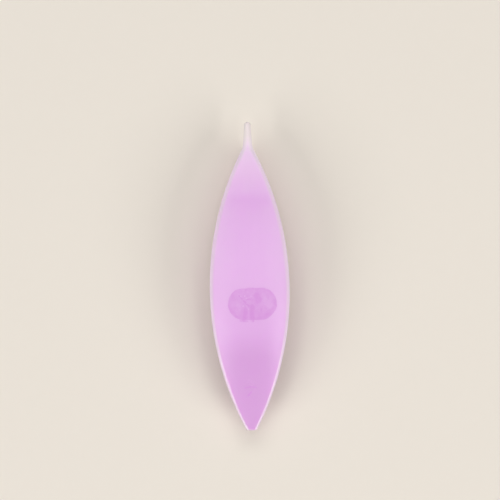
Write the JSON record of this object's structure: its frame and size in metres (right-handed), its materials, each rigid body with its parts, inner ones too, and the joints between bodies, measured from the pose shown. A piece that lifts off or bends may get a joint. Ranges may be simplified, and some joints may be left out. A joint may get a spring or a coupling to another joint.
{
  "type": "tatting shuttle",
  "caption": "Slim tatting shuttle: bowed sheer plastic blades that close at both ends around an oval winding post with a thread hole, with a pick at one end.",
  "frame": {"origin": "centre of the thread hole in the winding post", "axes": "+X along the shuttle towards the pick, +Y across it, +Z from the rear blade to the front blade, the one with the pick"},
  "size_m": [0.0635, 0.0164, 0.0094],
  "materials": {
    "blade_plastic": "sheer milky lilac, moulded, satin gloss",
    "post_plastic": "sheer milky lilac, moulded, satin gloss",
    "cement": "clear solvent cement, patchy where it wetted the plastic"
  },
  "bodies": {
    "root": {"front_blade": "blade_plastic", "rear_blade": "blade_plastic", "post": "post_plastic", "front_cement": "cement", "rear_cement": "cement"}
  },
  "joints": []
}
